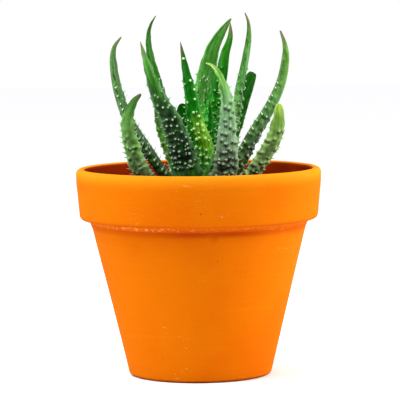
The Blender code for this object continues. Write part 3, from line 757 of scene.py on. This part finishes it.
def skinSpot(leaf, line, share, t, isBack, lift=0.0):
    # a place on the leaf: t runs from -1 at the left margin to 1 at the right one
    place, across, out = leafPlane(leaf, line, share)
    fullness = leafFullness(leaf, share)
    halfWidth = leaf["width"] * fullness / 2
    thins = min(1.0, 0.35 + 4.0 * (1.0 - share))
    depth = leaf["depth"] * (0.3 + 0.7 * fullness) * thins
    edge = min(leafForm["marginHalf"], 0.2 * depth)
    # the back bulges, the face is hollow along its middle, and the margin between them is round
    inner = max(0.0, 1.0 - t * t)
    rounded = edge * (1.0 - t ** 8) ** 0.5 if abs(t) < 1 else 0.0
    if isBack:
        outward = rounded + (0.6 * depth - edge) * inner ** 0.85
    else:
        outward = -rounded - max(0.0, depth * (0.27 - 0.12 * inner ** 2) - edge) * inner ** 0.8
    outward += lift if isBack else -lift
    straight = place + across * (halfWidth * t) + out * outward
    clasp = 1.0 - smoothStep(0.0, leafForm["claspEnds"], share)
    if clasp > 0:
        # the root curves round the stem
        reach = math.hypot(place.x, place.y)
        turn = math.atan2(place.y, place.x) + halfWidth * t / (reach + 1.0)
        radial = reach + max(outward, -0.1) * 0.9
        bent = Vector((radial * math.cos(turn), radial * math.sin(turn), straight.z))
        straight = straight.lerp(bent, clasp)
    needed = stemRadius(straight.z) + leafForm["leastGap"]
    flat = math.hypot(straight.x, straight.y)
    if straight.z < stem["top"] and flat < needed:
        straight = Vector((straight.x * needed / flat, straight.y * needed / flat, straight.z))
    return straight


def skinNormal(leaf, line, share, t, isBack):
    # by small steps along and across the skin
    here = skinSpot(leaf, line, share, t, isBack)
    up = skinSpot(leaf, line, min(share + 0.01, 0.999), t, isBack)
    side = skinSpot(leaf, line, share, t + (0.04 if t < 0 else -0.04), isBack)
    normal = (side - here).cross(up - here).normalized()
    across, out = leafPlane(leaf, line, share)[1:]
    if normal.dot(out if isBack else -out) < 0:
        normal = -normal
    return here, normal, (up - here).normalized()


def addSpike(shape, centre, outward, upward, size, profile, sides, lean, flatten, marks):
    # a small pointed growth. Each ring of its profile has a width and a height, in shares of
    # its size, and how much of the colour of teeth and tubercles it takes
    outward = outward.normalized()
    upward = (upward - outward * upward.dot(outward)).normalized()
    sideways = upward.cross(outward)
    rings = []
    for width, height, relief in profile:
        middle = centre + outward * (height * size[1])
        middle += upward * (lean * max(0.0, height) ** 1.6 * size[1])
        ring = []
        for i in range(sides if width else 1):
            turn = 2 * math.pi * i / sides
            spot = middle + sideways * (math.cos(turn) * width * size[0] * flatten)
            spot = spot - upward * (math.sin(turn) * width * size[0])
            ring.append(addPoint(shape, spot, {**marks, "relief": (relief, 0.0, 0.0)}))
        rings.append(ring)
    for low, high in zip(rings, rings[1:]):
        joinRings(shape, list(reversed(low)), list(reversed(high)))


toothProfile = ((1.25, -0.22, 0.0), (0.95, 0.02, 0.2), (0.66, 0.25, 0.75), (0.42, 0.5, 1.0),
                (0.22, 0.76, 1.0), (0.09, 0.94, 1.0), (0.0, 1.0, 1.0))
bumpProfile = ((1.35, -0.25, 0.0), (1.08, 0.05, 0.1), (0.9, 0.34, 0.4), (0.64, 0.66, 0.85),
               (0.32, 0.92, 1.0), (0.0, 1.0, 1.0))


def rowPlace(leaf, row, t):
    # a row bows towards the tip in the middle of the back, and wanders
    wander = noise.noise(Vector((t * 1.6, row * 2.3, leaf["width"])))
    return leaf["bumps"][0] * (0.3 * (1 - t * t) + 0.8 * wander)


def placeRows(leaf, length, chance):
    # how far up the leaf each row is; the rows draw apart towards the tip
    rowGap, _, _, start, end = leaf["bumps"]
    rows = []
    along = start * length
    while along < end * length:
        rows.append(along)
        fading = (along / length - start) / (end - start)
        along += rowGap * chance.uniform(0.85, 1.15) * (1 + 0.5 * fading)
    return rows


def placeBumps(leaf, length, rows, chance):
    # how far up, how far across from -1 to 1, and how big; closer and fuller low on the leaf
    rowGap, gapInRow, size, start, end = leaf["bumps"]
    spots = []
    for row, along in enumerate(rows):
        width = leaf["width"] * leafFullness(leaf, along / length) * 1.12
        count = max(1, round(width / gapInRow))
        fading = (along / length - start) / (end - start)
        for i in range(count):
            shift = 0.5 * (row % 2) if count > 2 else 0.0
            t = -0.84 + 1.68 * (i + 0.4 + shift + chance.uniform(-0.4, 0.4)) / (count + 0.2)
            if abs(t) > 0.86 or chance.random() < 0.12 + 0.45 * fading ** 2:
                continue
            here = along + rowPlace(leaf, row, t) + chance.uniform(-0.22, 0.22) * rowGap
            spots.append((here / length, t,
                          size * chance.uniform(0.5, 1.15) * (1 - 0.3 * fading)))
    return spots


def marginBulge(along, side, toothMap, drift):
    # a margin swells at each tooth and wavers between them
    waver = 0.7 * noise.noise(Vector((along * 0.28, side * 5.0, drift + 21.0)))
    swell = 0.0
    for spot, size in toothMap[side]:
        if abs(along - spot) < 3:
            swell = max(swell, 0.24 * size * math.exp(-(((along - spot) / 0.9) ** 2)))
    return swell + waver


def placeTeeth(leaf, length, chance):
    # how far up, -1 for the left margin or 1 for the right one, and how long
    gap, size, start, end = leaf["teeth"]
    spots = []
    for side in (-1, 1):
        along = start * length + chance.uniform(0, gap)
        while along < end * length:
            share = along / length
            spots.append((share, side, size * chance.uniform(0.7, 1.15) * (1.1 - 0.5 * share)))
            along += gap * chance.uniform(0.7, 1.3)
    return spots


def leafGreen(tree, share, side, across, looks):
    # the plain colour of the leaf: five colours up the back, and one laid over them on the face
    lengthwise = addNode(tree, "ShaderNodeValToRGB", {0: share})
    stops = ((0.08, "root"), (0.3, "low"), (0.55, "body"), (0.88, "tip"), (0.985, "point"))
    elements = lengthwise.color_ramp.elements
    while len(elements) < len(stops):
        elements.new(0.5)
    for element, (position, part) in zip(elements, stops):
        element.position = position
        element.color = linearColour(looks[part])
    back = lengthwise.outputs[0]
    face = addNode(tree, "ShaderNodeMix", {0: 0.6, 6: back, 7: looks["face"]},
                   data_type="RGBA").outputs[2]
    colour = addNode(tree, "ShaderNodeMix", {0: side, 6: face, 7: back},
                     data_type="RGBA").outputs[2]
    if looks["glow"]:
        # light comes through the thin part low in the heart
        glow = 0.9
        for source, low, high in ((share, 0.12, 0.28), (share, 0.52, 0.34), (across, -3.0, 1.5)):
            part = addNode(tree, "ShaderNodeMapRange", {0: source, 1: low, 2: high},
                           interpolation_type="SMOOTHSTEP").outputs[0]
            glow = addNode(tree, "ShaderNodeMath", {0: part, 1: glow},
                           operation="MULTIPLY").outputs[0]
        colour = addNode(tree, "ShaderNodeMix", {0: glow, 6: colour, 7: looks["glow"]},
                         data_type="RGBA").outputs[2]
    return colour


def aloeSkin(name, looks):
    # Aloe leaf: waxy living skin over wet flesh, so a soft shine, a hazy bloom low down,
    # fine lengthwise veins, pale horny teeth, and tubercles that show nearly white; painted
    # shade lies in the hollows, pits and dark band of the back, a painted highlight on its
    # ledges, and the pale margin is partly a painted glow.
    material, tree, shader = newMaterial(name, {
        "Roughness": 0.45, "IOR": 1.42, "Specular IOR Level": looks["shine"], "Metallic": 0.0})
    growth, relief, skin = [
        addNode(tree, "ShaderNodeAttribute", attribute_name=mark).outputs["Vector"]
        for mark in ("growth", "relief", "skin")]
    (share, side, margin), (horn, ledge, hollow), (across, _, _) = [
        addNode(tree, "ShaderNodeSeparateXYZ", {0: mark}).outputs
        for mark in (growth, relief, skin)]
    along, patches = [
        addNode(tree, "ShaderNodeVectorMath", {0: skin, 1: (1 / width, 1 / height, 1.0)},
                operation="MULTIPLY").outputs[0]
        for width, height in (leafForm["veinSize"], leafForm["dappleSize"])]
    veins, dapple, mottle, pores = [
        addNode(tree, "ShaderNodeTexNoise", {
            0: start, "Scale": scale, "Detail": detail}).outputs[0]
        for start, scale, detail in (
            (along, 1.0, 3.0), (patches, 1.0, 3.0), (skin, 1 / leafForm["mottleSize"], 3.0),
            (skin, 1 / leafForm["poreSize"], 2.0))]
    # what each finish follows, between which two values, and how much there is at either one
    amounts = {"ledge": ledge, "hollow": hollow, "pores": pores}
    for finish, source, low, high, start, end, change in (
            ("lightVeins", veins, 0.48, 0.7, 0.0, 0.6 * looks["streaks"], "SMOOTHSTEP"),
            ("darkVeins", veins, 0.29, 0.5, 0.85 * looks["streaks"], 0.0, "LINEAR"),
            ("lightDapple", dapple, 0.53, 0.66, 0.0, 0.6, "SMOOTHSTEP"),
            ("darkDapple", dapple, 0.36, 0.48, 0.75, 0.0, "LINEAR"),
            ("rubbed", share, 0.15, 0.75, 1.0, 0.25, "LINEAR"),
            ("bloom", mottle, 0.4, 0.7, 0.0, looks["bloom"], "SMOOTHSTEP"),
            ("hazy", share, 0.1, 0.8, 1.0, 0.2, "LINEAR"),
            ("rim", margin, 0.62, 0.92, 0.0, looks["rim"], "SMOOTHSTEP"),
            ("broken", dapple, 0.36, 0.52, 0.0, 1.0, "SMOOTHSTEP"),
            ("horn", horn, 0.15, 0.9, 0.0, 1.0, "SMOOTHSTEP"),
            ("rough", mottle, 0.0, 1.0, 0.4, 0.6, "LINEAR")):
        amounts[finish] = addNode(
            tree, "ShaderNodeMapRange", {0: source, 1: low, 2: high, 3: start, 4: end},
            interpolation_type=change).outputs[0]
    for finish, weaker in (
            ("lightDapple", amounts["rubbed"]), ("darkDapple", amounts["rubbed"]),
            ("bloom", amounts["hazy"]), ("rim", amounts["broken"]), ("ledge", 0.7),
            ("pores", 0.3)):
        amounts[finish] = addNode(tree, "ShaderNodeMath", {0: amounts[finish], 1: weaker},
                                  operation="MULTIPLY").outputs[0]
    colour = leafGreen(tree, share, side, across, looks)
    lighter, darker = [
        addNode(tree, "ShaderNodeHueSaturation", {
            "Color": colour, "Saturation": saturation, "Value": value}).outputs[0]
        for saturation, value in ((0.84, 2.0), (1.1, 0.24))]
    # ledge lays a painted highlight, hollow painted shade, and rim a pale margin that is partly a
    # painted glow
    for finish, layer in (
            ("lightVeins", lighter), ("darkVeins", darker), ("lightDapple", lighter),
            ("darkDapple", darker), ("bloom", leafForm["waxBloom"]),
            ("rim", looks["margin"] or lighter), ("ledge", lighter),
            ("hollow", looks["hollow"]), ("horn", looks["mark"])):
        colour = addNode(tree, "ShaderNodeMix", {0: amounts[finish], 6: colour, 7: layer},
                         data_type="RGBA").outputs[2]
    tree.links.new(amounts["rough"], shader.inputs["Roughness"])
    height = addNode(tree, "ShaderNodeMath", {0: veins, 1: amounts["pores"]}, operation="ADD")
    finishMaterial(tree, shader, colour, height.outputs[0], strength=0.4, depth=0.4)
    return material


def camelName(name):
    first, *rest = name.split("_")
    return first + "".join(word.capitalize() for word in rest)


def skinRelief(leaf, plan, share, t):
    # how far the back stands out at a place, how much painted highlight its ledges take, and how
    # much painted shade its hollows take
    _, _, _, start, end = leaf["bumps"]
    looks, bumpMap, drift = leaf["looks"], plan["bumpMap"], plan["seed"] * 3.1
    along = share * plan["length"]
    halfWidth = leaf["width"] * leafFullness(leaf, share) / 2
    zone = smoothStep(start - 0.05, start + 0.05, share)
    zone *= 1 - smoothStep(end - 0.15, end + 0.06, share)
    side = t * halfWidth
    waver = 0.12 * noise.noise(Vector((side, along * 0.4, drift)))
    middle = 1 - smoothStep(0.5, 0.92, abs(t) + waver)
    ledge = 0.0
    for row, place in enumerate(plan["rows"]):
        off = along - place - rowPlace(leaf, row, t)
        if abs(off) < 2.5:
            strength = 0.45 + 0.9 * noise.noise(Vector((side * 0.35, row * 1.7, drift)))
            ledge = max(ledge, math.exp(-((off / 0.7) ** 2)) * strength)
    ledge = min(1.0, ledge * looks["ledge"] * zone)
    patch = noise.noise(Vector((side * 0.42, along * 0.36, drift + 4.0)))
    patch = smoothStep(-0.4 - 0.4 * looks["band"], 0.1, patch)
    # the dark band is painted shade, in patches down the middle of the back
    hollow = looks["band"] * zone * middle * patch * (1 - 0.85 * ledge)
    hollow *= 1 - smoothStep(looks["bandEnds"] - 0.12, looks["bandEnds"] + 0.06, share)
    # each tubercle lifts the skin round it, and has a pit just below it; the pit is painted dark as
    # shade, and the swelling round the tubercle is painted light as a highlight
    downs = bumpMap[:, 0] - along
    sides = (bumpMap[:, 1] - t) * halfWidth
    near = float(np.exp(-(downs ** 2 + sides ** 2) / 0.6).max())
    pit = float((np.exp(-((downs - 1.05) ** 2 / 0.4 + sides ** 2 / 0.55)) * bumpMap[:, 2]).max())
    pit = min(1.0, 1.6 * pit * looks["pits"])
    lumps = noise.noise(Vector((side * 0.55, along * 0.45, drift + 9.0)))
    lumps += 0.5 * noise.noise(Vector((side * 1.1, along * 0.9, drift + 15.0)))
    lift = 0.4 * ledge - 0.2 * hollow + 0.35 * near - 0.4 * pit
    lift += 0.25 * looks["lumps"] * lumps * zone
    lift *= 1 - abs(t) ** 6
    # the pits add painted shade, and the skin near each tubercle a painted highlight
    hollow = max(hollow, 0.9 * pit) * (1 - 0.75 * near)
    ledge = max(0.0, ledge, 0.9 * near * looks["ledge"])
    return lift, ledge, min(1.0, max(0.0, hollow))


def planLeaf(leaf, seed):
    # the midline, and where rows, tubercles and teeth come
    chance = random.Random(seed)
    knots = leafKnots(leaf)
    marks = [0.0]
    for before, after in zip(knots, knots[1:]):
        marks.append(marks[-1] + (after - before).length)
    length = marks[-1]
    rows = placeRows(leaf, length, chance)
    bumps = placeBumps(leaf, length, rows, chance)
    teeth = placeTeeth(leaf, length, chance)
    return {
        "seed": seed, "chance": chance, "length": length,
        "line": lambda share: midline(knots, marks, share),
        "rows": rows, "bumps": bumps, "teeth": teeth,
        "bumpMap": np.array([(share * length, t, min(1.0, size)) for share, t, size in bumps]),
        "toothMap": {end: [(share * length, size) for share, side, size in teeth if side == end]
                     for end in (-1, 1)}}


def skinMarks(leaf, plan, share, t, isBack):
    # what the material reads: the place on the leaf, in shares and in millimetres
    halfWidth = leaf["width"] * leafFullness(leaf, share) / 2
    return {"growth": (share, 1.0 if isBack else 0.0, abs(t)),
            "skin": (t * halfWidth, share * plan["length"],
                     plan["seed"] * 7.3 + (0 if isBack else 3))}


def bulgedSpot(leaf, plan, share, t, place):
    # margins swell outwards from the outer parts of the blade, but not at the root or the tip
    spread = smoothStep(0.6, 1.0, abs(t)) * smoothStep(0.06, 0.16, share)
    spread *= (1 - smoothStep(0.85, 0.97, share)) * leaf["looks"]["lumps"]
    side = 1 if t > 0 else -1
    bulge = marginBulge(share * plan["length"], side, plan["toothMap"], plan["seed"])
    return place + leafPlane(leaf, plan["line"], share)[1] * (side * spread * bulge)


def addBlade(shape, leaf, plan):
    # rings of points round the leaf from the root to the tip, back first and then face
    line, backColumns, faceColumns = plan["line"], leafForm["backColumns"], leafForm["faceColumns"]
    columns = [(-math.cos(math.pi * i / backColumns), True) for i in range(backColumns)]
    columns += [(math.cos(math.pi * i / faceColumns), False) for i in range(faceColumns)]
    ringCount = round(plan["length"] / leafForm["ringStep"])
    rings = []
    for index in range(ringCount):
        share = leafForm["lastRing"] * index / (ringCount - 1)
        ring = []
        for t, isBack in columns:
            lift, ledge, hollow = skinRelief(leaf, plan, share, t) if isBack else (0.0, 0.0, 0.0)
            place = skinSpot(leaf, line, share, t, isBack, lift)
            if abs(t) > 0.6:
                place = bulgedSpot(leaf, plan, share, t, place)
            ring.append(addPoint(shape, place, {**skinMarks(leaf, plan, share, t, isBack),
                                                "relief": (0.0, ledge, hollow)}))
        rings.append(ring)
    for low, high in zip(rings, rings[1:]):
        joinRings(shape, low, high)
    root = sum((shape["points"][i] for i in rings[0]), Vector()) / (len(rings[0]) * mm)
    root = addPoint(shape, root, skinMarks(leaf, plan, 0.0, 0.0, True))
    joinRings(shape, [root], rings[0])
    tip = addPoint(shape, line(1.0), skinMarks(leaf, plan, 1.0, 0.0, True))
    joinRings(shape, rings[-1], [tip])


def addTubercles(shape, leaf, plan):
    for share, t, size in plan["bumps"]:
        here, normal, up = skinNormal(leaf, plan["line"], share, t, True)
        here = here + normal * leafForm["bumpProud"]
        addSpike(shape, here, normal, up, (0.5 * size, 0.55 * size), bumpProfile,
                 leafForm["bumpSides"], lean=0.3, flatten=1.0,
                 marks=skinMarks(leaf, plan, share, t, True))


def addFaceTeeth(shape, leaf, plan):
    chance = plan["chance"]
    for _ in range(leaf["looks"]["faceTeeth"]):
        share, t = chance.uniform(0.22, 0.62), chance.uniform(-0.85, 0.85)
        size = chance.uniform(0.9, 1.7)
        here, normal, up = skinNormal(leaf, plan["line"], share, t, False)
        addSpike(shape, here, normal, up, (0.3 * size, 0.8 * size), toothProfile,
                 leafForm["toothSides"], lean=0.9, flatten=1.0,
                 marks=skinMarks(leaf, plan, share, t, False))


def addMarginTeeth(shape, leaf, plan):
    line = plan["line"]
    for share, side, size in plan["teeth"]:
        _, across, out = leafPlane(leaf, line, share)
        here = skinSpot(leaf, line, share, side * 0.985, True)
        ahead = skinSpot(leaf, line, min(share + 0.01, 0.999), side * 0.985, True)
        bulge = marginBulge(share * plan["length"], side, plan["toothMap"], plan["seed"])
        here = here + across * (side * 0.6 * bulge)
        addSpike(shape, here, across * side + out * leaf["tilt"], ahead - here,
                 (0.22 * size + 0.14, size), toothProfile, leafForm["toothSides"],
                 lean=0.45, flatten=0.55, marks=skinMarks(leaf, plan, share, side, True))


def makeLeaf(cadName, leaf, seed):
    plan = planLeaf(leaf, seed)
    shape = startShape("growth", "skin", "relief")
    addBlade(shape, leaf, plan)
    addTubercles(shape, leaf, plan)
    addFaceTeeth(shape, leaf, plan)
    addMarginTeeth(shape, leaf, plan)
    name = camelName(cadName)
    skin = aloeSkin(name.replace("leaf", "aloeSkin"), leaf["looks"])
    finishPiece(name, shape, skin, cadName)


for seed, (cadName, leaf) in enumerate(leaves.items(), 1):
    makeLeaf(cadName, {**leafDefaults, **leaf}, seed)
print("leaves made:", len(leaves))


# Floor, light and camera

studio = {
    "floorRadius": 3000.0, "floorSides": 96,
    "paper": "#F4F4F6", "paperShade": "#D8D8E0", "toothSize": 1.5,
    "background": "#FFFFFF", "horizonLight": 0.3, "overheadLight": 1.5,
    "camera": (0.53, -1195.0, 180.7), "aim": (0.53, 0.0, 78.3),
    "roll": 0.584,            # the pot leans left by this much in the photo
    "focalPixels": 2670.0, "imageWidth": 400.0, "sensorWidth": 36.0,
    "nearest": 50.0, "farthest": 20000.0,
    # name, place, aim, width and height, watts and colour of each softbox
    "softboxes": (
        ("softboxRight", (620, 100, 200), (0, 0, 90), (500, 600), 7.4, "#FFF8F0"),
        ("softboxTop", (-300, -250, 800), (0, 0, 120), (300, 300), 5.4, "#FFFFFF"),
        ("softboxLeft", (-620, 50, 200), (0, 0, 90), (500, 600), 2.7, "#FFFFFF")),
}


def studioPaper():
    # Studio paper: matt white, with a faint tooth that only shows close up.
    material, tree, shader = newMaterial("studioPaper", {
        "Roughness": 0.9, "IOR": 1.45, "Specular IOR Level": 0.2})
    place = addNode(tree, "ShaderNodeTexCoord").outputs["Object"]
    tooth = addNode(tree, "ShaderNodeTexNoise", {
        0: place, "Scale": perMetre / studio["toothSize"], "Detail": 2.0}).outputs[0]
    faint = addNode(tree, "ShaderNodeMath", {0: tooth, 1: 0.06}, operation="MULTIPLY").outputs[0]
    colour = addNode(tree, "ShaderNodeMix", {0: faint, 6: studio["paper"],
                     7: studio["paperShade"]}, data_type="RGBA").outputs[2]
    tree.links.new(colour, shader.inputs["Base Color"])
    return material


def makeFloor():
    mesh = bpy.data.meshes.new("paperSweep")
    sides, radius = studio["floorSides"], studio["floorRadius"] * mm
    points = [(radius * math.cos(2 * math.pi * i / sides),
               radius * math.sin(2 * math.pi * i / sides), 0.0) for i in range(sides)]
    mesh.from_pydata(points, [], [tuple(range(sides))])
    mesh.materials.append(studioPaper())
    floor = bpy.data.objects.new("paperSweep", mesh)
    bpy.context.scene.collection.objects.link(floor)


def makeSky():
    # a white room, brighter overhead than at the horizon; the camera sees plain white
    world = bpy.data.worlds.new("whiteRoom")
    world.use_nodes = True
    tree = world.node_tree
    direction = addNode(tree, "ShaderNodeTexCoord").outputs["Generated"]
    rise = addNode(tree, "ShaderNodeSeparateXYZ", {0: direction}).outputs[2]
    strength = addNode(tree, "ShaderNodeMapRange", {
        0: rise, 3: studio["horizonLight"], 4: studio["overheadLight"]}).outputs[0]
    light, seen = [
        addNode(tree, "ShaderNodeBackground", {"Color": colour, "Strength": power}).outputs[0]
        for colour, power in (("#FFFFFF", strength), (studio["background"], 1.0))]
    isCamera = addNode(tree, "ShaderNodeLightPath").outputs["Is Camera Ray"]
    mix = addNode(tree, "ShaderNodeMixShader", {0: isCamera, 1: light, 2: seen})
    tree.links.new(mix.outputs[0], tree.nodes["World Output"].inputs[0])
    bpy.context.scene.world = world


def addSoftbox(name, place, aim, size, watts, colour):
    light = bpy.data.lights.new(name, "AREA")
    light.shape = "RECTANGLE"
    light.size, light.size_y = [side * mm for side in size]
    light.energy = watts
    light.color = linearColour(colour)[:3]
    lamp = bpy.data.objects.new(name, light)
    bpy.context.scene.collection.objects.link(lamp)
    lamp.location = Vector(place) * mm
    lamp.rotation_euler = (Vector(aim) - Vector(place)).to_track_quat("-Z", "Y").to_euler()


def makeCamera():
    place, aim = Vector(studio["camera"]), Vector(studio["aim"])
    forward = (aim - place).normalized()
    right = forward.cross(Vector((0, 0, 1))).normalized()
    up = right.cross(forward)
    roll = math.radians(studio["roll"])
    tiltedRight = right * math.cos(roll) - up * math.sin(roll)
    tiltedUp = right * math.sin(roll) + up * math.cos(roll)
    camera = bpy.data.objects.new("camera", bpy.data.cameras.new("camera"))
    bpy.context.scene.collection.objects.link(camera)
    turn = Matrix((tiltedRight, tiltedUp, -forward)).transposed()
    camera.matrix_world = Matrix.Translation(place * mm) @ turn.to_4x4()
    camera.data.sensor_width = studio["sensorWidth"]
    camera.data.lens = studio["focalPixels"] / studio["imageWidth"] * studio["sensorWidth"]
    camera.data.clip_start = studio["nearest"] * mm
    camera.data.clip_end = studio["farthest"] * mm
    bpy.context.scene.camera = camera


makeFloor()
makeSky()
for softbox in studio["softboxes"]:
    addSoftbox(*softbox)
makeCamera()
bpy.context.scene.view_settings.view_transform = "Standard"
print("studio made")
